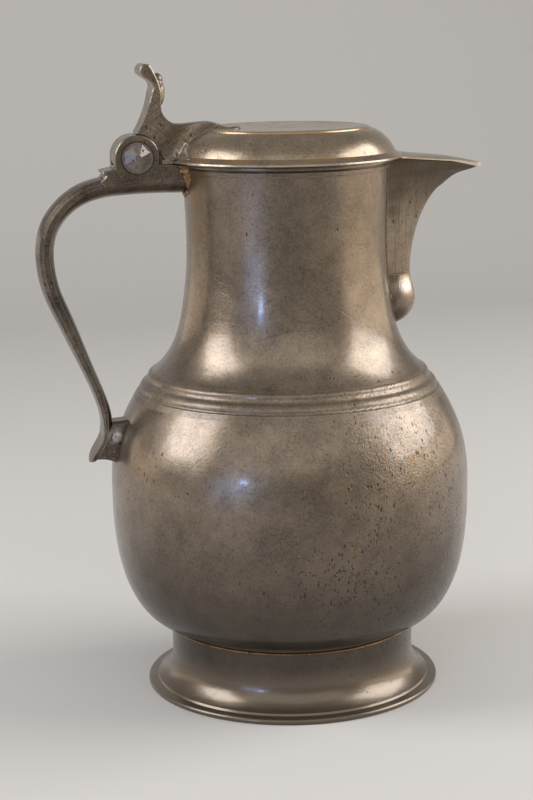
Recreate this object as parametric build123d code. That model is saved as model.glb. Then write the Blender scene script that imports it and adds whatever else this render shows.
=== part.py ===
from build123d import *
from math import acos, atan2, cos, hypot, radians, sin
import os

# A lidded pewter jug in millimetres. The origin is the centre of the circle that the foot
# rests on, with +Z up, +X towards the spout and -X towards the handle.

# Driving dimensions of the body, a turned vessel
wall = 2.2
foot_r = 64.0
foot_step_r = 60.0
collar_r = 53.2
seam_z = 27.3
belly_r = 77.5
belly_z = 88.0
rim_r = 44.6
rim_z = 229.2

# Driving dimensions of the lid
lid_gap = 0.3
lid_z = rim_z + lid_gap
flange_r = 49.8
crease_r = 47.2
crease_z = 232.2
plateau_r = 36.7
lid_top_z = 243.0
lid_wall = 2.0
beak_tip_x = 86.9
beak_root_half = 14.8

# Driving dimensions of the hinge
hinge_x = -64.1
hinge_z = 232.2
cheek_r = 9.4
hinge_width = 16.0
knuckle_width = 6.2
side_gap = 0.3
turn_gap = 0.5
pin_r = 2.5
pin_play = 0.05
head_r = 5.7
head_flat_r = 1.5
head_height = 2.1
head_sides = 8
head_turn = 22.5
washer_r = 6.3
washer_height = 0.5

# Driving dimensions of the handle, the spout and the thumbpiece
strap_width = 14.0
edge_soft = 0.45
thumb_width = 15.0
thumb_root_width = 12.4
tab_z = 231.0
spout_wall = 1.7
lip_gap = 0.4
drop_x = 44.0
drop_reach = 13.0
drop_half = 8.8
strut_width = 10.0

# Outer profiles of the vessel as radius and height, from the foot seam upwards
lower_profile = [
    (53.9, 29.4), (63.6, 34.0), (69.0, 41.0), (73.9, 53.0), (76.5, 67.0), (77.4, 79.0), (belly_r, belly_z),
]
upper_profile = [(belly_r, belly_z), (77.4, 97.0), (75.3, 110.0), (71.4, 120.5), (65.4, 131.4)]
neck_profile = [
    (58.9, 139.7), (54.3, 144.0), (48.3, 154.0), (45.0, 167.0), (42.8, 186.0), (42.6, 203.0), (43.6, 225.0),
]


def turned(outline):
    """Turn a closed outline of radius and height round the vertical axis."""
    return revolve(Plane.XZ * make_face(outline), Axis.Z)


def slab(outline, width):
    """A side view in X and Z made a plate that is centred on the jug's own plane."""
    return extrude(Plane.XZ * make_face(outline), width / 2, both=True)


def soften(plate, width):
    """Break the edges round both faces of a plate with a narrow chamfer."""
    near, far = plate.faces().filter_by(Axis.Y)[:2]
    return chamfer(near.edges() + far.edges(), width)


def hinge_circle(radius, width):
    """A disc round the hinge's axis."""
    return slab(Pos(hinge_x, hinge_z) * Circle(radius).edge(), width)


def inset(points, depth):
    """Move each point of an outer profile inwards, square to the profile."""
    moved = []
    for i, (r, z) in enumerate(points):
        before = points[max(i - 1, 0)]
        after = points[min(i + 1, len(points) - 1)]
        run, rise = after[0] - before[0], after[1] - before[1]
        length = hypot(run, rise)
        moved.append((r - depth * rise / length, z + depth * run / length))
    return moved


def foot():
    """Flared foot ring, hollow underneath, with a stepped base rim."""
    step_z, base_z = 3.4, 2.6
    outline = Line((collar_r, seam_z), (collar_r - 0.2, 15.0))
    outline += ThreePointArc((collar_r - 0.2, 15.0), (54.8, 8.0), (foot_step_r - 0.5, step_z))
    outline += Polyline((foot_step_r - 0.5, step_z), (foot_step_r, base_z), (foot_r - 0.6, 2.3))
    outline += ThreePointArc((foot_r - 0.6, 2.3), (foot_r, 1.2), (foot_r - 0.8, 0))
    outline += Polyline((foot_r - 0.8, 0), (foot_step_r + 0.4, 0), (foot_step_r - 2.2, 1.2))
    outline += ThreePointArc((foot_step_r - 2.2, 1.2), (52.8, 6.8), (collar_r - wall, 15.0))
    outline += Polyline((collar_r - wall, 15.0), (collar_r - wall, seam_z), (collar_r, seam_z))
    return turned(outline)


def lower_bowl():
    """Lower half of the belly with its flat bottom, open at the widest line."""
    inner = inset(lower_profile, wall)
    floor_z = seam_z + wall
    outline = Polyline((0, seam_z), (collar_r + 0.2, seam_z), lower_profile[0])
    outline += Spline(*lower_profile)
    outline += Line((belly_r, belly_z), (belly_r - wall, belly_z))
    outline += Spline((54.0, floor_z + 0.6), *inner[1:-1], (belly_r - wall, belly_z))
    outline += Polyline((54.0, floor_z + 0.6), (51.0, floor_z), (0, floor_z), (0, seam_z))
    return turned(outline)


def shoulder_lines():
    """Two turned grooves with a sloping bead between them, where the belly meets the neck."""
    bead_low, bead_high, ridge = (64.3, 132.8), (62.4, 135.4), (60.6, 137.8)
    lines = ThreePointArc(upper_profile[-1], (64.55, 131.85), bead_low)
    lines += ThreePointArc(bead_low, (63.7, 134.3), bead_high)
    lines += ThreePointArc(bead_high, (61.15, 136.35), ridge)
    lines += ThreePointArc(ridge, (60.1, 139.0), neck_profile[0])
    return lines


def rim_outline():
    """Rim of the neck: a band and a thicker edge with a fine groove between them."""
    neck_top = neck_profile[-1]
    lines = Polyline(neck_top, (44.2, 225.2), (44.3, 226.7), (43.8, 227.2), (44.3, 227.7), (rim_r, 228.1))
    lines += Polyline((rim_r, 228.1), (rim_r, 228.8), (rim_r - 0.4, rim_z), (neck_top[0] - wall, rim_z))
    return lines


def vessel(hollow):
    """Upper half of the belly with the shoulder, the neck and the rim, solid or hollow."""
    inner_top = (neck_profile[-1][0] - wall, rim_z)
    outline = Spline(*upper_profile)
    outline += shoulder_lines()
    outline += Spline(*neck_profile)
    outline += rim_outline()
    if hollow:
        shoulder = inset([upper_profile[-1], neck_profile[0]], wall + 0.5)
        inner_belly = [(belly_r - wall, belly_z)] + inset(upper_profile, wall)[1:-1] + shoulder[:1]
        inner_neck = shoulder[1:] + inset(neck_profile, wall)[1:-1] + [inner_top]
        outline += Spline(*reversed(inner_neck))
        outline += Line(shoulder[1], shoulder[0])
        outline += Spline(*reversed(inner_belly))
        outline += Line((belly_r - wall, belly_z), (belly_r, belly_z))
    else:
        outline += Polyline(inner_top, (0, rim_z), (0, belly_z), (belly_r, belly_z))
    return turned(outline)


# Spout stations as height, reach of the keel from the axis, half width and keel radius
spout_root_x = 38.0
spout_stations = [
    (178.6, 54.9, 9.4, 4.6),
    (185.0, 55.1, 10.0, 4.5),
    (192.0, 56.3, 10.5, 4.3),
    (198.5, 58.1, 11.1, 4.0),
    (204.5, 60.5, 11.8, 3.7),
    (210.0, 63.6, 12.5, 3.4),
    (214.8, 67.8, 13.2, 3.1),
    (218.6, 72.9, 14.0, 2.8),
    (221.2, 78.4, 14.7, 2.5),
    (222.7, 84.2, 15.2, 2.4),
    (224.6, 88.0, 15.4, 2.4),
    (227.1, 90.6, 15.5, 2.4),
    (229.8, 92.0, 15.5, 2.4),
]


def spout_section(height, reach, half_width, keel, inward):
    """A flat pointed section: two straight sides that run into a round keel."""
    keel_r = max(keel - inward, 0.8)
    centre_x = reach - inward - keel_r
    start = (spout_root_x, half_width - inward)
    away = hypot(centre_x - start[0], start[1])
    turn = atan2(start[1], start[0] - centre_x) - acos(keel_r / away)
    touch = (centre_x + keel_r * cos(turn), keel_r * sin(turn))
    lower_touch = (touch[0], -touch[1])
    lower_start = (start[0], -start[1])
    outline = Line(start, touch)
    outline += ThreePointArc(touch, (centre_x + keel_r, 0), lower_touch)
    outline += Line(lower_touch, lower_start)
    outline += Line(lower_start, start)
    return Plane.XY.offset(height) * make_face(outline)


def spout_form(inward):
    """The spout's solid form, shrunk by a wall where it stands for the channel."""
    sections = [spout_section(*station, inward) for station in spout_stations]
    return loft(sections) + extrude(sections[-1], 2.0)


def beak_underside():
    """Underside of the lid's beak in the side view, from the flange to the drooping tip."""
    return [(44.0, lid_z), (50.0, 228.6), (58.0, 227.7), (66.0, 226.9), (74.0, 226.0), (80.5, 224.7), (86.0, 223.4)]


def above_lip(gap):
    """All the space above the beak's underside, lowered by a gap."""
    under = [(x, z - gap) for x, z in beak_underside()]
    outline = Spline(*under)
    outline += Polyline(under[-1], (96.0, under[-1][1] - 2.6), (96.0, 260.0), (under[0][0], 260.0), under[0])
    return slab(outline, 80.0)


def spout(neck_solid, channel):
    """Open channel on the neck, drawn out to a long lip under the lid's beak."""
    shell = spout_form(0) - channel - neck_solid - above_lip(lip_gap)
    top = Box(60, 60, 30, align=(Align.MIN, Align.CENTER, Align.MIN))
    return shell - Pos(spout_root_x, 0, rim_z) * top


def spout_drop(neck_solid):
    """Half teardrop that closes the foot of the spout against the neck."""
    top_z, wide_z, low_z = spout_stations[0][0], 168.3, 156.4
    outline = Spline((10.9, top_z), (11.8, 173.6), (drop_reach, wide_z), (11.7, 162.4), (7.4, 158.0), (0, low_z))
    outline += Polyline((0, low_z), (0, top_z), (10.9, top_z))
    drop = scale(turned(outline), by=(1, drop_half / drop_reach, 1))
    return Pos(drop_x, 0, 0) * drop - neck_solid


# Handle strap stations along the crest of its back: X, Z, heading in degrees, thickness,
# half width, how far the back is crowned and how far the inner face is rounded
strap_stations = [
    (-43.0, 225.0, 180.0, 8.3, 7.9, 0.4, 6.0),
    (-50.0, 225.15, 180.0, 8.4, 7.9, 0.4, 6.0),
    (-57.0, 225.3, 180.0, 8.5, 7.9, 0.4, 6.0),
    (-69.0, 225.3, 183.0, 8.8, 7.85, 0.6, 5.8),
    (-80.3, 224.0, 194.0, 8.7, 7.7, 0.9, 5.2),
    (-89.6, 221.0, 207.0, 8.6, 7.35, 1.2, 4.2),
    (-97.9, 214.9, 226.0, 8.2, 7.15, 1.4, 3.2),
    (-103.9, 206.8, 245.0, 7.9, 7.0, 1.5, 2.6),
    (-106.7, 196.6, 264.0, 7.6, 7.0, 1.5, 2.4),
    (-106.6, 186.6, 278.0, 7.6, 7.0, 1.5, 2.3),
    (-104.4, 176.3, 288.0, 7.4, 7.0, 1.5, 2.2),
    (-99.7, 165.1, 294.0, 7.1, 7.0, 1.5, 2.1),
    (-94.0, 152.7, 294.5, 6.1, 7.0, 1.4, 1.9),
    (-88.3, 140.3, 292.5, 5.1, 7.0, 1.2, 1.6),
    (-84.4, 130.5, 287.0, 4.9, 7.0, 0.9, 1.5),
    (-82.3, 123.0, 278.0, 4.8, 7.0, 0.5, 2.2),
    (-81.8, 116.8, 270.0, 3.6, 7.0, 0.1, 1.4),
]


def strap_section(x, z, heading, thickness, half, crown, belly):
    """Section across the strap: a crowned back with bevelled edges and a round inner face."""
    along = Vector(cos(radians(heading)), 0, sin(radians(heading)))
    plane = Plane(origin=(x, 0, z), x_dir=(0, 1, 0), z_dir=along)
    inner = thickness - belly
    bevel = 0.15 * thickness
    back_half = half - bevel
    back = crown * (back_half / half) ** 2
    outline = ThreePointArc((-back_half, back), (0, 0), (back_half, back))
    outline += Polyline((back_half, back), (half, crown + bevel), (half, inner))
    outline += ThreePointArc((half, inner), (0, thickness), (-half, inner))
    outline += Polyline((-half, inner), (-half, crown + bevel), (-back_half, back))
    return plane * make_face(outline)


def hinge_block():
    """Upper end of the handle: two round cheeks on a block, with a spur that stops the lid."""
    low_right, high_right = (-43.0, 223.6), (-43.0, rim_z)
    outline = Polyline(
        low_right, high_right, (hinge_x + 9.0, rim_z), (hinge_x, hinge_z), (hinge_x - cheek_r, hinge_z - 0.5),
        (-73.5, 228.0), (-78.4, 227.0), (-78.6, 226.2), (-77.4, 225.2), (-78.1, 224.2), (-79.6, 222.9),
        (-78.0, 220.6), low_right,
    )
    return soften(slab(outline, hinge_width) + hinge_circle(cheek_r, hinge_width), edge_soft)


def hinge_slot():
    """Room between the cheeks for the knuckle, open above the rim."""
    width = knuckle_width + 2 * side_gap
    pocket = hinge_circle(cheek_r + turn_gap, width)
    return pocket + Pos(hinge_x, 0, rim_z) * Box(24, width, 20, align=(Align.CENTER, Align.CENTER, Align.MIN))


def handle_tail():
    """Lower end of the strap, kicked outwards in a short heel with a round end."""
    outline = Spline((-81.75, 117.0), (-82.4, 113.4), (-84.2, 110.2), (-86.4, 106.6), (-87.6, 103.2))
    outline += Line((-87.6, 103.2), (-85.8, 103.2))
    outline += Spline((-85.8, 103.2), (-82.7, 109.0), (-80.7, 113.2), (-79.4, 117.0))
    outline += Line((-79.4, 117.0), (-81.75, 117.0))
    half = strap_width / 2
    tongue = Polyline((-half, 120.0), (-half, 110.2))
    tongue += ThreePointArc((-half, 110.2), (0, 110.2 - half), (half, 110.2))
    tongue += Polyline((half, 110.2), (half, 120.0), (-half, 120.0))
    return slab(outline, strap_width) & extrude(Plane.YZ * make_face(tongue), -100)


def handle(neck_solid):
    """Cast handle: the strap with its hinge block and its tail."""
    strap = loft([strap_section(*station) for station in strap_stations])
    whole = strap + hinge_block() + handle_tail()
    bore = Pos(hinge_x, 0, hinge_z) * Rot(90, 0, 0) * Cylinder(pin_r, hinge_width + 2)
    return whole - hinge_slot() - bore - neck_solid


def handle_strut(belly_solid, handle_solid):
    """Solid web that carries the handle's lower end on the belly, with a round boss."""
    outline = Polyline((-77.6, 121.0), (-70.0, 121.5), (-70.0, 103.0), (-76.4, 103.0))
    outline += Spline((-76.4, 103.0), (-80.6, 104.6), (-84.6, 104.8))
    outline += Polyline((-84.6, 104.8), (-80.6, 112.0), (-77.6, 121.0))
    web = slab(outline, strut_width)
    rims = web.edges().filter_by(lambda e: e.center().Z > 120.5 or e.center().Z < 105.0)
    web = chamfer(rims.filter_by(lambda e: abs(e.center().Y) > 4.9), 1.3)
    boss = Pos(-75.2, 0, 114.2) * scale(Sphere(1), by=(5.6, 6.5, 5.0))
    return web + boss - belly_solid - handle_solid


def hinge_pin():
    """Plain shaft through both cheeks and the knuckle."""
    return Pos(hinge_x, 0, hinge_z) * Rot(90, 0, 0) * Cylinder(pin_r, hinge_width)


def pin_head(side):
    """Faceted head on a thin round seat, on one end of the pin."""
    seat = Cylinder(washer_r, washer_height, align=(Align.CENTER, Align.CENTER, Align.MIN))
    base = Pos(0, 0, washer_height) * RegularPolygon(head_r, head_sides, rotation=head_turn)
    crown = Pos(0, 0, washer_height + head_height) * RegularPolygon(head_flat_r, head_sides, rotation=head_turn)
    place = Plane(origin=(hinge_x, side * hinge_width / 2, hinge_z), x_dir=(1, 0, 0), z_dir=(0, side, 0))
    return place * (seat + loft([base, crown]))


def lid_turned(hollow):
    """The lid as turned: flange, crease, dome and flat top, solid or hollow."""
    outline = Polyline((flange_r - 0.4, lid_z), (flange_r, lid_z + 0.4), (flange_r - 0.2, lid_z + 1.0))
    outline += Polyline((flange_r - 0.2, lid_z + 1.0), (crease_r, crease_z), (crease_r - 0.5, crease_z + 0.3))
    outline += ThreePointArc((crease_r - 0.5, crease_z + 0.3), (43.4, 237.7), (plateau_r, 241.9))
    outline += Polyline((plateau_r, 241.9), (plateau_r - 0.5, 242.0), (plateau_r - 0.7, 242.5))
    outline += Spline((plateau_r - 0.7, 242.5), (34.4, 242.95), (31.0, 242.9), (20.0, 242.6), (0, lid_top_z))
    if hollow:
        inside_z = lid_top_z - lid_wall
        outline += Polyline((0, lid_top_z), (0, inside_z), (34.0, inside_z - 0.6))
        outline += ThreePointArc((34.0, inside_z - 0.6), (41.0, 236.6), (43.2, 231.6))
        outline += Polyline((43.2, 231.6), (42.6, lid_z), (flange_r - 0.4, lid_z))
    else:
        outline += Polyline((0, lid_top_z), (0, lid_z), (flange_r - 0.4, lid_z))
    return turned(outline)


def hinge_tab():
    """Plate that carries the lid's flange out to the hinge, under the thumbpiece."""
    left, right = hinge_x + cheek_r + 2 * turn_gap, -44.0
    outline = Polyline((left, lid_z), (right, lid_z), (right, tab_z), (left, tab_z), (left, lid_z))
    return slab(outline, thumb_width) - Cylinder(flange_r - 4.0, 600)


# Stations of the beak's crowned top: X, height of the crest, half width, height of the edge
beak_stations = [
    (44.0, 231.8, 15.9, 230.6),
    (50.0, 230.8, 13.9, 229.4),
    (55.0, 230.2, 12.1, 228.7),
    (61.0, 229.6, 10.1, 228.0),
    (66.0, 229.1, 8.4, 227.5),
    (71.0, 228.4, 6.7, 227.0),
    (76.0, 227.4, 5.0, 226.4),
    (81.0, 226.3, 3.3, 225.5),
    (85.0, 225.3, 2.2, 224.6),
    (89.0, 224.0, 2.0, 223.3),
]


def beak_top():
    """Everything below the crowned top of the beak."""
    sections = []
    for x, crest, half, edge in beak_stations:
        wide = half + 5.0
        low = crest - (crest - edge) * (wide / half) ** 2
        outline = ThreePointArc((-wide, low), (0, crest), (wide, low))
        outline += Polyline((wide, low), (wide, 200.0), (-wide, 200.0), (-wide, low))
        sections.append(Plane(origin=(x, 0, 0), x_dir=(0, 1, 0), z_dir=(1, 0, 0)) * make_face(outline))
    return loft(sections)


def beak():
    """Cover for the spout, tapering and drooping to a blunt tip, filleted into the flange."""
    tip_half, root_x = 2.4, 30.0
    half_at_root = beak_root_half + (crease_r - root_x) * 0.34
    taper = Polyline(
        (root_x, half_at_root), (beak_tip_x - 1.8, tip_half), (beak_tip_x, 0.9), (beak_tip_x, -0.9),
        (beak_tip_x - 1.8, -tip_half), (root_x, -half_at_root), (root_x, half_at_root),
    )
    plan = Circle(flange_r - 0.3) + make_face(taper)
    corners = plan.vertices().filter_by(lambda v: 40.0 < v.X < 55.0)
    plan = fillet(corners, 7.0)
    return (Pos(0, 0, 215) * extrude(plan, 30)) & beak_top() & above_lip(0)


# Stations of the tongue: X, height of its crest, half width of the crest and of the base,
# and height of the base, which runs out on the lid
tongue_stations = [
    (-51.5, 246.6, 5.9, 6.4, 231.8),
    (-47.5, 245.7, 5.6, 7.6, 232.0),
    (-43.5, 245.5, 5.2, 10.0, 235.0),
    (-39.5, 245.8, 5.0, 11.4, 238.8),
    (-35.5, 246.1, 4.9, 11.6, 241.0),
    (-31.5, 245.9, 4.6, 10.2, 242.2),
    (-27.5, 244.6, 3.9, 8.0, 242.4),
    (-23.5, 243.5, 2.8, 5.6, 242.5),
    (-19.0, 242.8, 1.6, 3.4, 242.4),
]


def tongue():
    """Tongue of the thumbpiece: a rounded ridge whose sides sweep out to meet the dome."""
    sections = []
    for x, crest, top_half, base_half, base in tongue_stations:
        rise, spread = crest - base, base_half - top_half
        knee_z, bend_z, low_z = crest - 0.12 * rise, base + 0.4 * rise, base - 2.0
        bend_half = top_half + 0.25 * spread
        outline = ThreePointArc((-top_half, knee_z), (0, crest), (top_half, knee_z))
        outline += ThreePointArc((top_half, knee_z), (bend_half, bend_z), (base_half, base))
        outline += Polyline((base_half, base), (base_half, low_z), (-base_half, low_z), (-base_half, base))
        outline += ThreePointArc((-base_half, base), (-bend_half, bend_z), (-top_half, knee_z))
        sections.append(Plane(origin=(x, 0, 0), x_dir=(0, 1, 0), z_dir=(1, 0, 0)) * make_face(outline))
    return loft(sections)


def bud():
    """Bud on the front of the lever: a long leaf under three small knobs."""
    leaf = Pos(-53.6, 0, 258.4) * scale(Sphere(1), by=(2.9, 3.0, 6.0))
    knob = Pos(-54.0, 0, 263.8) * Sphere(2.6)
    return leaf + knob + Pos(-54.2, -3.4, 262.2) * Sphere(2.1) + Pos(-54.2, 3.4, 262.2) * Sphere(2.1)


def thumb_taper():
    """Front view of the lever, which narrows from its scroll down to the hinge."""
    top, low = thumb_width / 2 + 0.1, thumb_root_width / 2
    outline = Polyline((-low, 220.0), (low, 220.0), (low, 240.0), (top, 262.0), (top, 280.0), (-top, 280.0))
    outline += Polyline((-top, 280.0), (-top, 262.0), (-low, 240.0), (-low, 220.0))
    return extrude(Plane.YZ * make_face(outline), -100)


def thumbpiece(lid_solid):
    """Scrolled lever with the hinge knuckle, and the tongue that is soldered to the lid."""
    reach = cheek_r + turn_gap
    back_foot, middle, low_foot = [
        (hinge_x + reach * cos(radians(turn)), hinge_z + reach * sin(radians(turn))) for turn in (88, 37, -14)
    ]
    crest = (-48.5, 246.0)
    outline = ThreePointArc(back_foot, middle, low_foot)
    outline += Polyline(low_foot, (-52.0, lid_z + 0.3), (crest[0], lid_z + 0.3), crest)
    outline += Spline(crest, (-50.6, 247.2), (-53.2, 250.9), (-53.3, 258.2), (-54.8, 264.2), (-57.9, 270.0))
    outline += Spline((-57.9, 270.0), (-61.5, 269.2), (-61.9, 266.9), (-59.0, 264.2), (-57.1, 259.0))
    outline += Spline((-57.1, 259.0), (-58.6, 253.0), back_foot)
    lever = soften(slab(outline, thumb_width), edge_soft) & thumb_taper()
    web = Polyline((hinge_x, hinge_z), back_foot, (-58.0, 244.0), (-52.0, 236.0), low_foot, (hinge_x, hinge_z))
    knuckle = hinge_circle(cheek_r, knuckle_width) + slab(web, knuckle_width)
    bore = Pos(hinge_x, 0, hinge_z) * Rot(90, 0, 0) * Cylinder(pin_r + pin_play, hinge_width)
    return lever + tongue() + bud() + knuckle - bore - lid_solid


def write(name, solid):
    export_step(solid, f"parts/{name}.step")
    print(f"{name:16s} {len(solid.solids())} solid, {solid.volume / 1000:8.2f} cm3, valid {solid.is_valid}")


os.makedirs("parts", exist_ok=True)
neck_solid = vessel(hollow=False)
channel = spout_form(spout_wall)
lid_beak = beak() - lid_turned(hollow=False)
handle_solid = handle(neck_solid)

write("foot", foot())
write("lower_bowl", lower_bowl())
write("upper_body", vessel(hollow=True) - channel)
write("spout", spout(neck_solid, channel))
write("spout_drop", spout_drop(neck_solid))
write("handle", handle_solid)
write("handle_strut", handle_strut(neck_solid, handle_solid))
write("hinge_pin", hinge_pin())
write("pin_head_near", pin_head(-1))
write("pin_head_far", pin_head(1))
write("lid", lid_turned(hollow=True) + lid_beak + hinge_tab())
write("thumbpiece", thumbpiece(lid_turned(hollow=False) + hinge_tab()))
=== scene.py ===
from math import cos, pi, radians, sin

import bmesh
import bpy
from mathutils import Matrix, Vector, noise
from mathutils.bvhtree import BVHTree


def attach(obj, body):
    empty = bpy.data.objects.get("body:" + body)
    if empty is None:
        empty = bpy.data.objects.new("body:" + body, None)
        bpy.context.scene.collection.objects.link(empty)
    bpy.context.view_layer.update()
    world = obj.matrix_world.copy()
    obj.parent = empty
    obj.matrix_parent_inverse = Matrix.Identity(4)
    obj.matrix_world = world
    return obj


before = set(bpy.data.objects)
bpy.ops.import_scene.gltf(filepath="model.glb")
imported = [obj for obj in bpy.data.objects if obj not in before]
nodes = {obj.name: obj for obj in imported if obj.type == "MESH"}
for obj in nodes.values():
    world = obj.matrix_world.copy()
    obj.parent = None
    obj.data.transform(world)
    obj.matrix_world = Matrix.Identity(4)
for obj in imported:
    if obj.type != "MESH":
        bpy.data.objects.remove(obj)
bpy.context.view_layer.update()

# Camera
# It stands to the left of square on to the jug, a little above the lid, with the long lens
# and the slight tilt that the photograph was taken with.
camera_place = Vector((-0.1852, -0.8022, 0.29455))
camera_heading, camera_dip, camera_roll = radians(12.34), radians(11.635), radians(-1.026)
ahead = Vector((
    sin(camera_heading) * cos(camera_dip), cos(camera_heading) * cos(camera_dip), -sin(camera_dip),
))
level = Vector((cos(camera_heading), -sin(camera_heading), 0))
right = cos(camera_roll) * level + sin(camera_roll) * level.cross(ahead)
lens = bpy.data.cameras.new("camera")
lens.lens = 87.08
lens.sensor_width = 36
lens.clip_start = 0.05
camera = bpy.data.objects.new("camera", lens)
turned = Matrix((right, right.cross(ahead), -ahead)).transposed()
camera.matrix_world = Matrix.Translation(camera_place) @ turned.to_4x4()
bpy.context.collection.objects.link(camera)
bpy.context.scene.camera = camera


# Foot, bowl and body
# Cast pewter, turned on a lathe and soldered together: a hollow foot ring, and a belly in two
# halves whose joint is turned away. Two centuries of use have left a satin grey-brown skin.
def linear(colour):
    """Turn an sRGB hex colour into the linear values that a shader takes."""
    parts = [int(colour[i:i + 2], 16) / 255 for i in (1, 3, 5)]
    return (*[c / 12.92 if c <= 0.04045 else ((c + 0.055) / 1.055) ** 2.4 for c in parts], 1)


def add(tree, kind, inputs, **settings):
    """Add a node with its settings, and set or link its inputs."""
    made = tree.nodes.new(kind)
    for name, value in settings.items():
        setattr(made, name, value)
    for name, value in inputs.items():
        if isinstance(value, bpy.types.NodeSocket):
            tree.links.new(value, made.inputs[name])
        else:
            made.inputs[name].default_value = value
    return made


def per_mm(size):
    """Texture scale at which one feature measures so many millimetres."""
    return 1000 / size


def close_to(tree, place, spot, reach):
    """A mask that is 1 round a spot on the jug and fades to 0 at its reach, in metres."""
    away = add(tree, "ShaderNodeVectorMath", {0: place, 1: spot}, operation="DISTANCE")
    mask = add(tree, "ShaderNodeMapRange", {
        "Value": away.outputs["Value"], "From Min": 0.3 * reach, "From Max": reach,
        "To Min": 1.0, "To Max": 0.0,
    }, interpolation_type="SMOOTHSTEP")
    return mask.outputs[0]


def corrosion_pits(tree, torn_place, region, pitting):
    """Pits up to 1.3 mm across and twice as tall, one to a cell at most. The cell's own lot and
    the state of the surface round it add up to say if it has one. Returns where the pits are
    and the colour that fills them: brown dirt, or in one of eight an orange oxide."""
    upright = add(tree, "ShaderNodeVectorMath", {0: torn_place, 1: (1.0, 1.0, 0.5)},
                  operation="MULTIPLY")
    threshold = 1.75 - pitting
    pits = 0.0
    for cell_mm, largest_share in ((0.9, 0.36), (1.4, 0.34), (2.7, 0.24)):
        cells = add(tree, "ShaderNodeTexVoronoi", {
            "Vector": upright.outputs[0], "Scale": per_mm(cell_mm),
        })
        lot = add(tree, "ShaderNodeSeparateColor", {"Color": cells.outputs["Color"]})
        score = add(tree, "ShaderNodeMath", {0: region, 1: 1.5, 2: lot.outputs["Red"]},
                    operation="MULTIPLY_ADD")
        radius = add(tree, "ShaderNodeMapRange", {
            "Value": score.outputs[0], "From Min": threshold, "From Max": threshold + 0.06,
            "To Min": 0.0, "To Max": largest_share,
        })
        inside = add(tree, "ShaderNodeMath", {0: radius.outputs[0], 1: cells.outputs["Distance"]},
                     operation="SUBTRACT")
        spot = add(tree, "ShaderNodeMath", {0: inside.outputs[0], 1: 9.0},
                   operation="MULTIPLY", use_clamp=True)
        pits = add(tree, "ShaderNodeMath", {0: pits, 1: spot.outputs[0]},
                   operation="MAXIMUM").outputs[0]
    filling = add(tree, "ShaderNodeValToRGB", {"Fac": lot.outputs["Green"]})
    filling.color_ramp.interpolation = "CONSTANT"
    filling.color_ramp.elements[0].color = linear("#35230F")
    filling.color_ramp.elements[1].position = 0.88
    filling.color_ramp.elements[1].color = linear("#A06C2C")
    return pits, filling.outputs[0]


def scratches(tree, place, streaks, marking):
    """Scratches along the given turns: sheets of noise 0.9 mm thick and 24 to 70 mm long, cut
    off where they are weak. More marking leaves more of them."""
    weakest = 0.62 - marking
    total = 0.0
    for turn in streaks:
        laid = add(tree, "ShaderNodeMapping", {
            "Vector": place, "Rotation": [radians(a) for a in turn], "Scale": (0.07, 0.0009, 0.024),
        }, vector_type="TEXTURE")
        lines = add(tree, "ShaderNodeTexNoise", {
            "Vector": laid.outputs[0], "Scale": 1.0, "Detail": 2, "Roughness": 0.7,
        })
        sharp = add(tree, "ShaderNodeMapRange", {
            "Value": lines.outputs["Fac"], "From Min": weakest, "From Max": weakest + 0.12,
        })
        total = add(tree, "ShaderNodeMath", {0: total, 1: sharp.outputs[0]},
                    operation="MAXIMUM").outputs[0]
    return total


def rubbed_and_highlit_edges(tree, place, openness, edge_wear_and_highlight, flush_seam):
    """Outer edges that stand open to hands and cloths, as a mask for a paler tint that is partly
    rubbed wear and partly a painted highlight. A seam that is turned flush, given by its height, is
    no edge."""
    rounded = add(tree, "ShaderNodeBevel", {"Radius": 0.0005}, samples=6)
    facing = add(tree, "ShaderNodeNewGeometry", {})
    bend = add(tree, "ShaderNodeVectorMath", {0: rounded.outputs[0], 1: facing.outputs["Normal"]},
               operation="DOT_PRODUCT")
    edge = add(tree, "ShaderNodeMapRange", {
        "Value": bend.outputs["Value"], "From Min": 0.985, "From Max": 0.9, "To Max": edge_wear_and_highlight,
    })
    if flush_seam:
        axes = add(tree, "ShaderNodeSeparateXYZ", {"Vector": place})
        seam = add(tree, "ShaderNodeMath", {0: axes.outputs["Z"], 1: flush_seam, 2: 0.0012},
                   operation="COMPARE")
        edge = add(tree, "ShaderNodeMath", {0: edge.outputs[0], 1: seam.outputs[0]},
                   operation="SUBTRACT", use_clamp=True)
    return add(tree, "ShaderNodeMath", {0: edge.outputs[0], 1: openness},
               operation="MULTIPLY").outputs[0]


def tool_rings(tree, place):
    """Rings about 1.6 mm apart that the turning tool left round the jug's axis."""
    axes = add(tree, "ShaderNodeSeparateXYZ", {"Vector": place})
    flat = add(tree, "ShaderNodeCombineXYZ", {"X": axes.outputs["X"], "Y": axes.outputs["Y"]})
    radius = add(tree, "ShaderNodeVectorMath", {0: flat.outputs[0]}, operation="LENGTH")
    profile = add(tree, "ShaderNodeCombineXYZ", {
        "X": radius.outputs["Value"], "Y": axes.outputs["Z"],
    })
    return add(tree, "ShaderNodeTexNoise", {
        "Vector": profile.outputs[0], "Scale": per_mm(1.6), "Detail": 2, "Roughness": 0.7,
    }, noise_dimensions="2D").outputs["Fac"]


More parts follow.
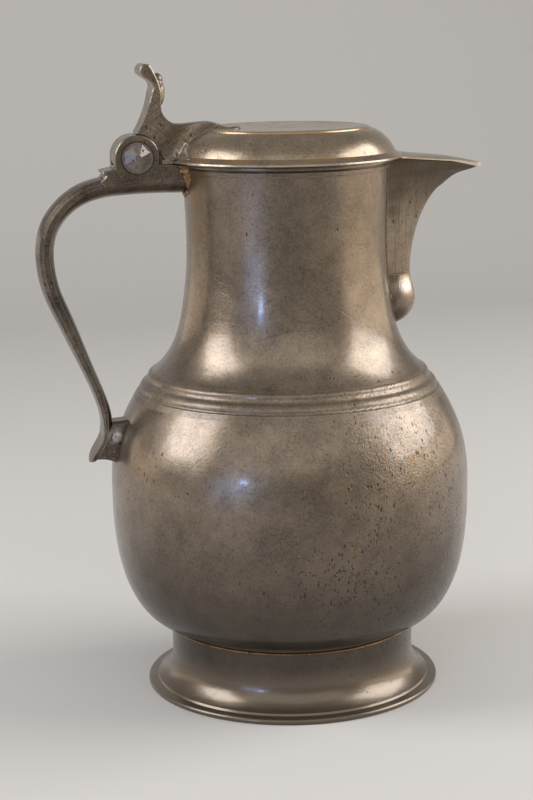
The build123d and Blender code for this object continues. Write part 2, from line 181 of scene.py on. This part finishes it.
def old_pewter(name, pale, dark, roughness, grain, pitting, metal=0.72, worn=None, rings=0.0,
               streaks=((25, 40, 10), (-60, 15, 70)), marking=0.0, edge_wear_and_highlight=0.7, flush_seam=None):
    """Metal that has gone dull with age: clouded colour, casting grain, pits, scratches, dirt and
    painted shade in the corners, edges made paler for wear and as a painted highlight and, on a
    turned piece, the rings of the tool. Grain and rings are depths in tenths of a millimetre,
    pitting and marking say how much there is of pits and of scratches, and worn is a spot and its
    reach in metres."""
    made = bpy.data.materials.new(name)
    made.use_nodes = True
    tree = made.node_tree
    shader = tree.nodes["Principled BSDF"]
    place = add(tree, "ShaderNodeTexCoord", {}, name="place").outputs["Object"]

    # Clouds of tarnish 40 mm across, patches of 9 mm and a grain of 0.9 mm. The real grain is
    # finer than a pixel, so it is drawn coarser.
    cloud = add(tree, "ShaderNodeTexNoise", {
        "Vector": place, "Scale": per_mm(40), "Detail": 4, "Roughness": 0.6,
    })
    patches = add(tree, "ShaderNodeTexNoise", {
        "Vector": place, "Scale": per_mm(9), "Detail": 5, "Roughness": 0.65,
    }, name="patches")
    fine = add(tree, "ShaderNodeTexNoise", {
        "Vector": place, "Scale": per_mm(0.9), "Detail": 3, "Roughness": 0.65,
    })
    clouded = add(tree, "ShaderNodeMath", {0: cloud.outputs["Fac"], 1: 0.37},
                  operation="MULTIPLY")
    patched = add(tree, "ShaderNodeMath", {
        0: patches.outputs["Fac"], 1: 0.3, 2: clouded.outputs[0],
    }, operation="MULTIPLY_ADD")
    tone = add(tree, "ShaderNodeMath", {0: fine.outputs["Fac"], 1: 0.33, 2: patched.outputs[0]},
               operation="MULTIPLY_ADD")
    colour = add(tree, "ShaderNodeValToRGB", {"Fac": tone.outputs[0]})
    colour.color_ramp.elements[0].position = 0.38
    colour.color_ramp.elements[0].color = linear(dark)
    colour.color_ramp.elements[1].position = 0.62
    colour.color_ramp.elements[1].color = linear(pale)

    # Round a worn spot there are more pits and the grain stands higher.
    region = cloud.outputs["Fac"]
    if worn:
        near = close_to(tree, place, *worn)
        region = add(tree, "ShaderNodeMath", {0: near, 1: 0.25, 2: region},
                     operation="MULTIPLY_ADD").outputs[0]
        grain = add(tree, "ShaderNodeMapRange", {
            "Value": near, "To Min": 0.6 * grain, "To Max": 3.0 * grain,
        }).outputs[0]
    torn = add(tree, "ShaderNodeVectorMath", {
        0: fine.outputs["Color"], 1: (0.0009, 0.0009, 0.0009), 2: place,
    }, operation="MULTIPLY_ADD")
    pits, filling = corrosion_pits(tree, torn.outputs[0], region, pitting)
    scratch = scratches(tree, place, streaks, marking)

    # Grey-brown grime in the low spots of the grain, then the pits, then the scratches.
    low_spots = add(tree, "ShaderNodeMath", {
        0: patches.outputs["Fac"], 1: 0.5, 2: fine.outputs["Fac"],
    }, operation="MULTIPLY_ADD")
    grime = add(tree, "ShaderNodeMapRange", {
        "Value": low_spots.outputs[0], "From Min": 0.69, "From Max": 0.57, "To Max": 0.3,
    })
    grimy = add(tree, "ShaderNodeMix", {
        0: grime.outputs[0], 6: colour.outputs[0], 7: linear("#40372B"),
    }, data_type="RGBA")
    pitted = add(tree, "ShaderNodeMix", {0: pits, 6: grimy.outputs[2], 7: filling},
                 data_type="RGBA")
    drawn_share = add(tree, "ShaderNodeMath", {0: scratch, 1: 0.3 + 2 * marking},
                      operation="MULTIPLY")
    drawn = add(tree, "ShaderNodeMix", {
        0: drawn_share.outputs[0], 6: pitted.outputs[2], 7: linear("#4A4034"),
    }, data_type="RGBA")

    # Brown dirt and painted shade where two faces meet, darker the more enclosed the spot is. Edges
    # are made paler: partly wear from handling, partly a painted highlight.
    openness = add(tree, "ShaderNodeAmbientOcclusion", {"Distance": 0.003}, samples=6).outputs["AO"]
    corner = add(tree, "ShaderNodeMapRange", {
        "Value": openness, "From Min": 0.75, "From Max": 0.35, "To Max": 0.8,
    })
    dirt_and_corner_shade = add(tree, "ShaderNodeMix", {
        0: corner.outputs[0], 6: drawn.outputs[2], 7: linear("#2F271D"),
    }, data_type="RGBA")
    edge = rubbed_and_highlit_edges(tree, place, openness, edge_wear_and_highlight, flush_seam)
    # Paler edges: partly rubbed wear, partly a painted highlight.
    rubbed_and_highlit = add(tree, "ShaderNodeMix", {0: edge, 6: dirt_and_corner_shade.outputs[2], 7: linear("#BDB2A2")},
                 data_type="RGBA")

    # Roughness changes from grain to grain: rubbed tops that still gleam, between dull hollows.
    spread = add(tree, "ShaderNodeMapRange", {
        "Value": tone.outputs[0], "From Min": 0.6, "From Max": 0.38,
        "To Min": roughness - 0.025, "To Max": roughness + 0.035,
    })
    rough = add(tree, "ShaderNodeMath", {0: pits, 1: 0.2, 2: spread.outputs[0]},
                operation="MULTIPLY_ADD")

    # Surface height in tenths of a millimetre: grain up, pits and scratches down. Shallow dents
    # 26 mm across lie under it.
    height = add(tree, "ShaderNodeMath", {0: fine.outputs["Fac"], 1: grain}, operation="MULTIPLY")
    height = add(tree, "ShaderNodeMath", {0: pits, 1: -1.2, 2: height.outputs[0]},
                 operation="MULTIPLY_ADD")
    height = add(tree, "ShaderNodeMath", {0: scratch, 1: -0.25 - 4 * marking, 2: height.outputs[0]},
                 operation="MULTIPLY_ADD")
    if rings:
        height = add(tree, "ShaderNodeMath", {
            0: tool_rings(tree, place), 1: rings, 2: height.outputs[0],
        }, operation="MULTIPLY_ADD")
    dents = add(tree, "ShaderNodeTexNoise", {"Vector": place, "Scale": per_mm(26), "Detail": 1})
    dented = add(tree, "ShaderNodeBump", {
        "Height": dents.outputs["Fac"], "Strength": 1.0, "Distance": 0.0007,
    })
    skin = add(tree, "ShaderNodeBump", {
        "Height": height.outputs[0], "Strength": 1.0, "Distance": 0.0001,
        "Normal": dented.outputs["Normal"],
    })

    # Old wax and polish over the dull metal add a weak, sharper reflection.
    shader.inputs["Metallic"].default_value = metal
    shader.inputs["Coat Weight"].default_value = 0.5
    shader.inputs["Coat Roughness"].default_value = 0.14
    tree.links.new(rubbed_and_highlit.outputs[2], shader.inputs["Base Color"])
    tree.links.new(rough.outputs[0], shader.inputs["Roughness"])
    tree.links.new(skin.outputs["Normal"], shader.inputs["Normal"])
    return made


def layers_of(metal):
    """What a further layer on old metal needs: its node tree, the place on the jug, the mottle
    of its 9 mm patches and the socket of its colour."""
    tree = metal.node_tree
    place = tree.nodes["place"].outputs["Object"]
    mottle = tree.nodes["patches"].outputs["Fac"]
    return tree, place, mottle, tree.nodes["Principled BSDF"].inputs["Base Color"]


def lay_tint(tree, share, base, tint):
    """Lay a tint over the colour so far, by the share that a mask gives."""
    over = add(tree, "ShaderNodeMix", {0: share, 6: base.links[0].from_socket, 7: linear(tint)},
               data_type="RGBA")
    tree.links.new(over.outputs[2], base)


def dirt_in_creases(metal, creases, tint, cover=0.4):
    """Brown dirt in turned creases, given as height and half width in metres, with ragged and
    broken edges."""
    tree, place, mottle, base = layers_of(metal)
    axes = add(tree, "ShaderNodeSeparateXYZ", {"Vector": place})
    raggedness = 0.0016
    ragged = add(tree, "ShaderNodeMath", {0: mottle, 1: raggedness, 2: axes.outputs["Z"]},
                 operation="MULTIPLY_ADD")
    total = 0.0
    for height, half in creases:
        band = add(tree, "ShaderNodeMath", {
            0: ragged.outputs[0], 1: height + raggedness / 2, 2: half,
        }, operation="COMPARE")
        total = add(tree, "ShaderNodeMath", {0: total, 1: band.outputs[0]},
                    operation="MAXIMUM").outputs[0]
    broken = add(tree, "ShaderNodeMapRange", {
        "Value": mottle, "From Min": 0.42, "From Max": 0.56, "To Min": 0.2 * cover, "To Max": cover,
    })
    share = add(tree, "ShaderNodeMath", {0: total, 1: broken.outputs[0]}, operation="MULTIPLY")
    lay_tint(tree, share.outputs[0], base, tint)


def stain_and_painted_light(metal, spots, tint):
    """Soft spots of a tint, given as a point and a reach, the same on both sides of the jug:
    oxide that has spread from a joint, and also painted shade and painted highlights."""
    tree, place, mottle, base = layers_of(metal)
    axes = add(tree, "ShaderNodeSeparateXYZ", {"Vector": place})
    side = add(tree, "ShaderNodeMath", {0: axes.outputs["Y"]}, operation="ABSOLUTE")
    folded = add(tree, "ShaderNodeCombineXYZ", {
        "X": axes.outputs["X"], "Y": side.outputs[0], "Z": axes.outputs["Z"],
    })
    total = 0.0
    for spot, reach in spots:
        near = close_to(tree, folded.outputs[0], spot, reach)
        total = add(tree, "ShaderNodeMath", {0: total, 1: near}, operation="MAXIMUM").outputs[0]
    broken = add(tree, "ShaderNodeMapRange", {
        "Value": mottle, "From Min": 0.36, "From Max": 0.56, "To Min": 0.3, "To Max": 0.9,
    })
    share = add(tree, "ShaderNodeMath", {0: total, 1: broken.outputs[0]}, operation="MULTIPLY")
    lay_tint(tree, share.outputs[0], base, tint)


def shaded_along(metal, axis, start, full, share, tint):
    """A tint that deepens along one axis, for painted shade and for painted light on a paler end.
    """
    tree, place, _, base = layers_of(metal)
    axes = add(tree, "ShaderNodeSeparateXYZ", {"Vector": place})
    depth = add(tree, "ShaderNodeMapRange", {
        "Value": axes.outputs[axis], "From Min": start, "From Max": full, "To Max": share,
    }, interpolation_type="SMOOTHSTEP")
    lay_tint(tree, depth.outputs[0], base, tint)


def dress(metal, *names):
    """Give pieces of the frame their finish."""
    for name in names:
        for slot in nodes[name].material_slots:
            slot.material = metal


# Turned pewter gives a soft gleam with fine rings. It is pitted most on the near right of the
# belly, and shade is painted on low down: darker towards the bottom, eased paler on the foot.
turned_pewter = old_pewter(
    "turned_pewter", "#8C7C6A", "#5A4E41", roughness=0.3, grain=0.9, pitting=-0.06,
    worn=(Vector((0.038, -0.06, 0.078)), 0.088), rings=0.25, flush_seam=0.088)
dirt_in_creases(turned_pewter, (
    (0.0273, 0.0006), (0.0033, 0.0005), (0.2252, 0.0004), (0.2272, 0.0004), (0.229, 0.0006),
), "#4A3A26")
at_handle_and_spout = (
    ((-0.043, 0.009, 0.223), 0.012), ((-0.041, 0.014, 0.227), 0.013),
    ((-0.042, 0.012, 0.213), 0.010), ((-0.041, 0.011, 0.2), 0.008),
    ((0.038, 0.012, 0.226), 0.006), ((0.041, 0.010, 0.19), 0.004),
)
stain_and_painted_light(turned_pewter, at_handle_and_spout, "#6F5534")
low_on_the_belly = (((-0.026, 0.06, 0.037), 0.009), ((0.002, 0.063, 0.034), 0.006))
stain_and_painted_light(turned_pewter, low_on_the_belly, "#4A3824")
# Painted shade: darker towards the bottom of the belly. A paler tint then eases it off on the foot.
shaded_along(turned_pewter, "Z", 0.105, 0.035, 0.78, "#2F2822")
shaded_along(turned_pewter, "Z", 0.022, 0.012, 0.38, "#8A7B68")

# The beads on the shoulder are rubbed less than the round of the belly, so they gleam softly.
beads_height, beads_half = 0.1345, 0.0055
tree, place = layers_of(turned_pewter)[:2]
roughness = tree.nodes["Principled BSDF"].inputs["Roughness"]
axes = add(tree, "ShaderNodeSeparateXYZ", {"Vector": place})
beads = add(tree, "ShaderNodeMath", {0: axes.outputs["Z"], 1: beads_height, 2: beads_half},
            operation="COMPARE")
soft = add(tree, "ShaderNodeMath", {
    0: beads.outputs[0], 1: 0.14, 2: roughness.links[0].from_socket,
}, operation="MULTIPLY_ADD")
tree.links.new(soft.outputs[0], roughness)
dress(turned_pewter, "foot", "lower_bowl", "upper_body")

# Spout and drop
# A cast open channel with a half teardrop under it, both filed and soldered on to the neck.
# Files have left short upright marks. Shade is painted on dark under the lid's beak and under the
# drop, and a highlight is painted on the drop.
filed_pewter = old_pewter(
    "filed_pewter", "#8A7A68", "#5E5245", roughness=0.32, grain=0.8, pitting=0.0,
    streaks=((0, 0, 88), (0, 12, 84)), marking=0.07)
# Painted shade under the lid's beak, on the top of the spout.
shade_under_the_beak = (
    ((0.047, 0.013, 0.227), 0.013), ((0.055, 0.011, 0.228), 0.014), ((0.063, 0.009, 0.228), 0.014),
    ((0.072, 0.006, 0.228), 0.013), ((0.081, 0.004, 0.227), 0.011), ((0.046, 0.011, 0.215), 0.009),
    ((0.046, 0.011, 0.206), 0.006),
)
stain_and_painted_light(filed_pewter, shade_under_the_beak, "#3D2E1C")
# Painted shade: darker towards the top of the spout, under the beak.
shaded_along(filed_pewter, "Z", 0.196, 0.224, 0.78, "#43351F")
# Painted shade under the drop.
shade_under_the_drop = (((0.048, 0.007, 0.1605), 0.006), ((0.044, 0.009, 0.166), 0.004))
stain_and_painted_light(filed_pewter, shade_under_the_drop, "#3A2B1A")
# A painted highlight on the drop.
highlight_on_the_drop = (((0.0515, 0.006, 0.174), 0.0055),)
stain_and_painted_light(filed_pewter, highlight_on_the_drop, "#CFC7BA")
dirt_in_creases(filed_pewter, ((0.1787, 0.0004),), "#33281A")
dress(filed_pewter, "spout", "spout_drop")

# Handle, strut and hinge pin
# Cast pewter that is left as it came from the mould and filed at the edges: darker than the
# body, grainy, with deep pits, paler at its edges, and with a highlight painted on the boss of the
# strut.
cast_pewter = old_pewter(
    "cast_pewter", "#7B6C5B", "#251E17", roughness=0.33, grain=1.4, pitting=0.1,
    streaks=((90, 20, 0), (90, -40, 20)), marking=0.03)
# A painted highlight on the boss where the strut meets the belly.
highlight_on_the_boss = (((-0.077, 0.0055, 0.1155), 0.005),)
stain_and_painted_light(cast_pewter, highlight_on_the_boss, "#B4ACA4")

# A ring of dirt lies round each head of the pin.
hinge_axis, ring_radius, ring_half = Vector((-0.0641, 0, 0.2322)), 0.0066, 0.0005
tree, place, _, base = layers_of(cast_pewter)
flat = add(tree, "ShaderNodeVectorMath", {0: place, 1: (1, 0, 1)}, operation="MULTIPLY")
from_pin = add(tree, "ShaderNodeVectorMath", {0: flat.outputs[0], 1: hinge_axis},
               operation="DISTANCE")
ring = add(tree, "ShaderNodeMath", {0: from_pin.outputs["Value"], 1: ring_radius, 2: ring_half},
           operation="COMPARE")
faint_ring = add(tree, "ShaderNodeMath", {0: ring.outputs[0], 1: 0.6}, operation="MULTIPLY")
lay_tint(tree, faint_ring.outputs[0], base, "#2B241C")
dress(cast_pewter, "handle", "handle_strut", "hinge_pin")

# Heads of the hinge pin
# Eight-sided caps, filed smooth. Cloths reach them, so they are paler than the handle, and each
# facet mirrors its own part of the room.
filed_heads = old_pewter(
    "filed_heads", "#877E77", "#5C554F", roughness=0.3, grain=0.8, pitting=0.02)
dress(filed_heads, "pin_head_near", "pin_head_far")

# Lid
# Turned pewter with a cast beak. It carries the tongue of the thumbpiece, and dirt and the
# remains of yellow polish sit in its creases. The beak's end is painted paler, as a highlight.
lid_pewter = old_pewter(
    "lid_pewter", "#9E8C77", "#716351", roughness=0.29, grain=0.5, pitting=-0.03, rings=0.3)
dirt_in_creases(lid_pewter, ((0.2322, 0.0005), (0.2422, 0.0004)), "#A07C40", cover=0.85)
# A painted highlight: the beak's end paler towards its tip.
shaded_along(lid_pewter, "X", 0.046, 0.062, 0.4, "#C9BFB1")
dress(lid_pewter, "lid")

# Thumbpiece
# One casting of knuckle, scrolled lever, bud and tongue, filed across its faces, which leaves
# coarse crossing marks. Brown oxide has gathered where its tongue meets the lid.
thumbpiece_pewter = old_pewter(
    "thumbpiece_pewter", "#8E7D69", "#483D30", roughness=0.32, grain=0.9, pitting=0.03,
    streaks=((90, 42, 0), (90, -35, 8)), marking=0.1)
at_the_tongue = (((-0.047, 0.006, 0.243), 0.005), ((-0.05, 0.007, 0.2405), 0.004))
stain_and_painted_light(thumbpiece_pewter, at_the_tongue, "#5A4426")
dress(thumbpiece_pewter, "thumbpiece")

# Solder on the joints
# Tin and lead, run in with an iron where the foot, the spout with its drop and the handle
# meet the body: thin uneven beads, burnt golden brown, or sooty beside the spout.
burnt_solder = old_pewter(
    "burnt_solder", "#A8783A", "#1E150D", roughness=0.42, grain=1.4, pitting=0.22, metal=0.6,
    edge_wear_and_highlight=0.3)
sooty_solder = old_pewter(
    "sooty_solder", "#6E5530", "#1C140D", roughness=0.45, grain=1.4, pitting=0.25, metal=0.6,
    edge_wear_and_highlight=0.2)
surface = {}
for name in ("upper_body", "spout", "spout_drop", "lid", "thumbpiece"):
    mesh = nodes[name].data
    surface[name] = BVHTree.FromPolygons(
        [v.co for v in mesh.vertices], [p.vertices for p in mesh.polygons])
near_y, inwards = -0.1, Vector((0, 1, 0))
back_x, forwards = -0.08, Vector((1, 0, 0))


def joint_point(part, height):
    """Where the near side of a part runs into the neck at one height: a look from the near
    side, moved from the spout's tip towards the axis until it meets the neck first."""
    x = 0.085
    while x > 0.03:
        start = Vector((x, near_y, height))
        on_part = surface[part].ray_cast(start, inwards)[0]
        on_neck = surface["upper_body"].ray_cast(start, inwards)[0]
        if on_neck and (not on_part or on_neck.y < on_part.y):
            return on_neck
        x -= 0.0002


def both_sides(line):
    """Carry a line on from its last point, on the jug's own plane, along the far side."""
    return line + [Vector((p.x, -p.y, p.z)) for p in reversed(line[:-1])]


def bead_tree():
    """Solder along a curve: a round bead whose thickness wanders."""
    tree = bpy.data.node_groups.new("solder_bead", "GeometryNodeTree")
    tree.interface.new_socket("Geometry", in_out="OUTPUT", socket_type="NodeSocketGeometry")
    for name, kind in (("Geometry", "Geometry"), ("Width", "Float"), ("Lump Length", "Float"),
                       ("Solder", "Material")):
        tree.interface.new_socket(name, in_out="INPUT", socket_type="NodeSocket" + kind)
    given = add(tree, "NodeGroupInput", {}).outputs
    line = add(tree, "GeometryNodeResampleCurve", {"Curve": given["Geometry"], "Length": 0.0006},
               mode="LENGTH")
    place = add(tree, "GeometryNodeInputPosition", {})
    scale = add(tree, "ShaderNodeMath", {0: 1.0, 1: given["Lump Length"]}, operation="DIVIDE")
    lumps = add(tree, "ShaderNodeTexNoise", {
        "Vector": place.outputs[0], "Scale": scale.outputs[0], "Detail": 2,
    })
    size = add(tree, "ShaderNodeMapRange", {
        "Value": lumps.outputs["Fac"], "From Min": 0.3, "From Max": 0.7,
        "To Min": 0.5, "To Max": 1.4,
    })
    thick = add(tree, "GeometryNodeSetCurveRadius", {
        "Curve": line.outputs[0], "Radius": size.outputs[0],
    })
    half = add(tree, "ShaderNodeMath", {0: given["Width"], 1: 0.5}, operation="MULTIPLY")
    ring = add(tree, "GeometryNodeCurvePrimitiveCircle", {
        "Resolution": 8, "Radius": half.outputs[0],
    })
    tube = add(tree, "GeometryNodeCurveToMesh", {
        "Curve": thick.outputs[0], "Profile Curve": ring.outputs[0], "Fill Caps": True,
    })
    smooth = add(tree, "GeometryNodeSetShadeSmooth", {"Geometry": tube.outputs[0]})
    real = add(tree, "GeometryNodeRealizeInstances", {"Geometry": smooth.outputs[0]})
    dressed = add(tree, "GeometryNodeSetMaterial", {
        "Geometry": real.outputs[0], "Material": given["Solder"],
    })
    add(tree, "NodeGroupOutput", {"Geometry": dressed.outputs[0]})
    return tree


bead_nodes = bead_tree()


def solder_bead(name, line, width, lump_length, metal, closed=False):
    """A bead along a line of points, made a plain mesh that rides with the jug."""
    curve = bpy.data.curves.new(name + "_line", "CURVE")
    curve.dimensions = "3D"
    spline = curve.splines.new("POLY")
    spline.points.add(len(line) - 1)
    for point, spot in zip(spline.points, line):
        point.co = (*spot, 1)
    spline.use_cyclic_u = closed
    guide = bpy.data.objects.new(name + "_line", curve)
    bpy.context.collection.objects.link(guide)
    modifier = guide.modifiers.new("bead", "NODES")
    modifier.node_group = bead_nodes
    values = {"Width": width, "Lump Length": lump_length, "Solder": metal}
    for socket in bead_nodes.interface.items_tree:
        if socket.name in values:
            modifier[socket.identifier] = values[socket.name]
    bpy.context.view_layer.update()
    finished = guide.evaluated_get(bpy.context.evaluated_depsgraph_get())
    mesh = bpy.data.meshes.new_from_object(finished)
    guide.modifiers.remove(modifier)
    bpy.data.objects.remove(guide)
    bead = bpy.data.objects.new(name, mesh)
    bpy.context.collection.objects.link(bead)
    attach(bead, "jug")


# Beside the spout and the drop the bead is thin, and it passes under the drop's tip.
spout_joint = [joint_point("spout", 0.227 - 0.004 * i) for i in range(12)]
spout_joint += [joint_point("spout_drop", 0.1775 - 0.0024 * i) for i in range(9)]
under_tip = surface["upper_body"].ray_cast(Vector((0.08, 0, 0.1566)), -forwards)[0]
solder_bead("spout_solder", both_sides(spout_joint + [under_tip]), 0.0012, 0.004, sooty_solder)


def faces_through(bm, rings):
    """Faces from each ring of points to the next. Returns the corners of both end rings."""
    rows = [[bm.verts.new(point) for point in ring] for ring in rings]
    for first, second in zip(rows, rows[1:]):
        for i in range(len(first)):
            j = (i + 1) % len(first)
            bm.faces.new((first[i], first[j], second[j], second[i]))
    return rows[0], rows[-1]


def lump(name, bm, metal):
    """Make a closed shape a smooth piece of one metal, with its faces outwards."""
    bmesh.ops.recalc_face_normals(bm, faces=bm.faces)
    for face in bm.faces:
        face.smooth = True
    mesh = bpy.data.meshes.new(name)
    bm.to_mesh(mesh)
    bm.free()
    mesh.materials.append(metal)
    made = bpy.data.objects.new(name, mesh)
    bpy.context.collection.objects.link(made)
    return made


# Round the root of the handle the solder has run ragged, wide at the rim and thin below. Its
# line round the root is given in mm, across and up, from the rim down to the middle. Its edges
# are sunk in the metal, its throat fills the corner, and its back lies inside the neck.
handle_root = (
    (-8.2, 228.4), (-8.2, 226.0), (-8.1, 223.2), (-7.3, 220.2), (-5.2, 217.8), (-2.6, 216.7),
    (0, 216.4),
)
steps = 6
sunk, throat, inside = 0.0004, 0.0005, 0.0008
stations = []
for (y1, z1), (y2, z2) in zip(handle_root, handle_root[1:]):
    for k in range(steps):
        stations.append(Vector((y1 + (y2 - y1) * k / steps, z1 + (z2 - z1) * k / steps)) / 1000)
stations.append(Vector(handle_root[-1]) / 1000)
stations += [Vector((-spot.x, spot.y)) for spot in reversed(stations[:-1])]
root_middle = Vector((0, 0.223))
sections = []
for i, spot in enumerate(stations):
    run = stations[min(i + 1, len(stations) - 1)] - stations[max(i - 1, 0)]
    out = Vector((run.y, -run.x)).normalized()
    if out.dot(spot - root_middle) < 0:
        out = -out
    back_wander = noise.noise(Vector((spot.x, 1, spot.y)) * per_mm(1.2))
    neck_wander = noise.noise(Vector((spot.x, 2, spot.y)) * per_mm(1.4))
    near_rim = max(0, min(1, (spot.y - 0.219) / 0.008))
    back_reach = 0.001 + 0.0024 * near_rim + 0.0018 * back_wander
    neck_reach = 0.0014 + 0.002 * near_rim + 0.0022 * neck_wander
    end = spot + out * neck_reach
    root, on_neck = [
        surface["upper_body"].ray_cast(Vector((back_x, at.x, at.y)), forwards)[0]
        for at in (spot, end)
    ]
    side = Vector((0, out.x, out.y))
    on_handle = root - forwards * back_reach
    corner = root + side * throat - forwards * throat
    section = [on_handle - side * sunk]
    for t in (0.15, 0.35, 0.5, 0.65, 0.85):
        point = (1 - t) ** 2 * on_handle + 2 * t * (1 - t) * corner + t ** 2 * on_neck
        swell = 0.0004 * noise.noise(point * per_mm(1.3)) + 0.0002
        section.append(point + (side - forwards).normalized() * swell)
    section += [on_neck + forwards * sunk, root + forwards * inside - side * inside]
    sections.append(section)
bm = bmesh.new()
near_end, far_end = faces_through(bm, sections)
bm.faces.new(near_end)
bm.faces.new(far_end[::-1])
handle_solder = lump("handle_solder", bm, burnt_solder)
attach(handle_solder, "jug")

# At the foot it fills the seam all the way round.
seam_radius, seam_height, turns = 0.0536, 0.0274, 120
foot_joint = []
for i in range(turns):
    turn = 2 * pi * i / turns
    foot_joint.append(Vector((seam_radius * cos(turn), seam_radius * sin(turn), seam_height)))
solder_bead("foot_solder", foot_joint, 0.0011, 0.012, burnt_solder, closed=True)

# Solder patch
# A later repair on the near side: a flat grey-brown pad of solder that holds the root of the
# thumbpiece to the lid, with a raised rim where it stopped flowing.
patch_solder = old_pewter(
    "grey_solder", "#7C6B58", "#4C4134", roughness=0.46, grain=0.7, pitting=0.0, metal=0.5,
    edge_wear_and_highlight=0.3)

# Its outline in mm, along and up, and each ring of it as a share of that and a lift in mm over
# the lid or the thumbpiece. Over a hollow the pad is eased towards the near side.
patch_outline = (
    (-54.2, 234.4), (-50.2, 237.7), (-46.0, 240.7), (-44.0, 239.0), (-42.4, 236.9), (-43.3, 234.9),
    (-43.7, 232.0), (-47.6, 231.3), (-52.6, 231.1),
)
patch_middle = Vector((-0.0482, 0.2352))
patch_rings = (
    (1.0, -0.2), (0.97, 0.35), (0.9, 0.75), (0.8, 0.6), (0.6, 0.5), (0.35, 0.5), (0.12, 0.5),
)
patch_depth, deepest_y = 0.0012, -0.006
corners = [Vector(corner) / 1000 for corner in patch_outline]
edge = []
for i, corner in enumerate(corners):
    before, after = corners[i - 1], corners[(i + 1) % len(corners)]
    beyond = corners[(i + 2) % len(corners)]
    for k in range(steps):
        t = k / steps
        rounded = 0.5 * (
            2 * corner + (after - before) * t
            + (2 * before - 5 * corner + 4 * after - beyond) * t ** 2
            + (3 * corner - before - 3 * after + beyond) * t ** 3)
        wander = 0.0003 * noise.noise(Vector((rounded.x, 0, rounded.y)) * per_mm(1.5))
        edge.append(rounded + (rounded - patch_middle).normalized() * wander)
rings = []
for share, lift in patch_rings:
    spots = [patch_middle + (spot - patch_middle) * share for spot in edge]
    depths = []
    for spot in spots:
        start = Vector((spot.x, near_y, spot.y))
        hits = [surface[name].ray_cast(start, inwards)[0] for name in ("lid", "thumbpiece")]
        depths.append(min([hit.y for hit in hits if hit] or [deepest_y]))
    for _ in range(4):
        depths = [
            min(y, (depths[i - 1] + depths[(i + 1) % len(depths)]) / 2)
            for i, y in enumerate(depths)
        ]
    rings.append([Vector((spot.x, y - lift / 1000, spot.y)) for spot, y in zip(spots, depths)])
underside = [point + inwards * patch_depth for point in rings[0]]
bm = bmesh.new()
back, front = faces_through(bm, [underside, *rings])
bm.faces.new(front)
bm.faces.new(back[::-1])
solder_patch = lump("solder_patch", bm, patch_solder)
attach(solder_patch, "lid")

# Floor and light
# A pale paper sweep under plain soft light: a soft box on each side and one in front, a small
# cool window with a strip of sky, and two weak warm strips low down at the sides.
half_width, front_y, rear, rise, bend, bend_steps = 3.0, -4.0, 1.6, 3.0, 0.6, 12
profile = [(front_y, 0.0)]
for i in range(bend_steps + 1):
    a = radians(90 * i / bend_steps)
    profile.append((rear - bend + bend * sin(a), bend - bend * cos(a)))
profile.append((rear, rise))
points = [(x, y, z) for x in (-half_width, half_width) for y, z in profile]
count = len(profile)
faces = [(i, i + count, i + count + 1, i + 1) for i in range(count - 1)]
floor_mesh = bpy.data.meshes.new("floor")
floor_mesh.from_pydata(points, [], faces)
floor = bpy.data.objects.new("floor", floor_mesh)
bpy.context.collection.objects.link(floor)
for face in floor_mesh.polygons:
    face.use_smooth = True
paper = bpy.data.materials.new("pale_paper")
paper.use_nodes = True
paper_shader = paper.node_tree.nodes["Principled BSDF"]
paper_shader.inputs["Base Color"].default_value = linear("#C9C7C4")
paper_shader.inputs["Roughness"].default_value = 0.9
floor_mesh.materials.append(paper)


def soft_box(name, azimuth, height, distance, width, tall, watts, colour):
    """An area lamp aimed at the jug. Its azimuth, in degrees to the right of the camera, and
    its height, in degrees, say where it stands."""
    lamp = bpy.data.lights.new(name, "AREA")
    lamp.shape = "RECTANGLE"
    lamp.size, lamp.size_y = width, tall
    lamp.energy = watts
    lamp.color = linear(colour)[:3]
    turn, climb = radians(azimuth) - camera_heading, radians(height)
    way = Vector((sin(turn) * cos(climb), -cos(turn) * cos(climb), sin(climb)))
    middle_of_jug = Vector((0, 0, 0.13))
    box = bpy.data.objects.new(name, lamp)
    box.location = middle_of_jug + way * distance
    box.rotation_euler = way.to_track_quat("Z", "Y").to_euler()
    bpy.context.collection.objects.link(box)


soft_box("left_box", -77, 31, 1.2, 0.62, 0.72, 9.2, "#FCFCFF")
soft_box("right_box", 94, 28, 1.2, 1.0, 0.72, 13.2, "#FEFCFB")
soft_box("window", -29, 8, 1.8, 0.13, 0.05, 2.0, "#A9C6FF")
soft_box("sky", -38, 2, 1.5, 0.5, 0.22, 1.1, "#9DBDFF")
soft_box("front_box", 2, 35, 1.6, 2.8, 1.0, 7.0, "#FFFBF5")
soft_box("right_glow", 100, 2, 1.3, 1.8, 0.24, 2.4, "#FFE6C4")
soft_box("left_glow", -115, 2, 1.3, 1.2, 0.24, 0.8, "#FFE6C4")

world = bpy.data.worlds.new("studio")
bpy.context.scene.world = world
world.use_nodes = True
surroundings = world.node_tree.nodes["Background"]
surroundings.inputs["Color"].default_value = linear("#C9C7C3")
surroundings.inputs["Strength"].default_value = 0.6
bpy.context.scene.view_settings.view_transform = "Standard"
